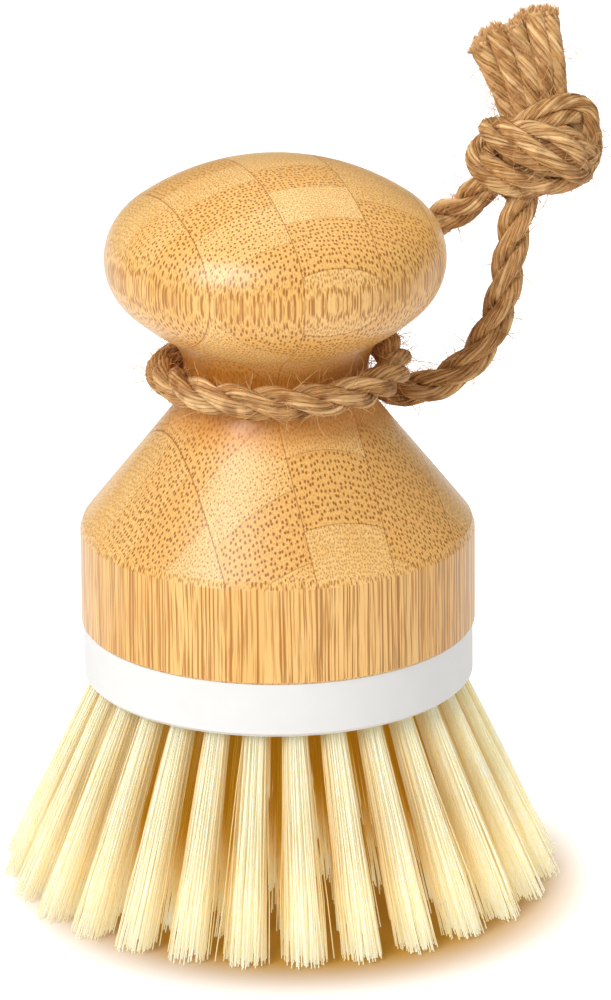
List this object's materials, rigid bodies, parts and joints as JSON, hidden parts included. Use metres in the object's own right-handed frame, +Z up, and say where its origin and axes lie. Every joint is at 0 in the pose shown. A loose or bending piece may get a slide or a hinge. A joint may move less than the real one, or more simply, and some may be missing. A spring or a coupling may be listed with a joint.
{
  "type": "vegetable brush",
  "caption": "Palm-held scrubbing brush: a turned bamboo knob on a moulded plate of splayed bristle tufts, with a knotted jute rope round its neck.",
  "frame": {"origin": "on the brush's axis, in the plane that the tips of the bristles stand on", "axes": "+Z up along the knob's axis; the pictured front is -Y; the rope's knot hangs out to +X"},
  "size_m": [0.0812, 0.076, 0.1219],
  "materials": {
    "bamboo": "satin clear coat over laminated bamboo",
    "plate_plastic": "white moulded plastic, satin",
    "filament": "cream translucent filament",
    "steel": "plain bright steel",
    "jute": "three-strand jute, natural tan"
  },
  "bodies": {
    "brush": {"handle": "bamboo", "brush_plate": "plate_plastic", "plate_screw": "steel", "outer_tufts": "filament", "second_tufts": "filament", "third_tufts": "filament", "inner_tufts": "filament", "outer_anchors": "steel", "second_anchors": "steel", "third_anchors": "steel", "inner_anchors": "steel"},
    "rope": {"rope_loop": "jute", "rope_knot": "jute", "rope_ends": "jute"}
  },
  "joints": [
    {"name": "rope_turn", "type": "hinge", "parent": "brush", "child": "rope", "pos_m": [0, 0, 0.0727], "axis": [0, 0, 1], "continuous": true}
  ]
}
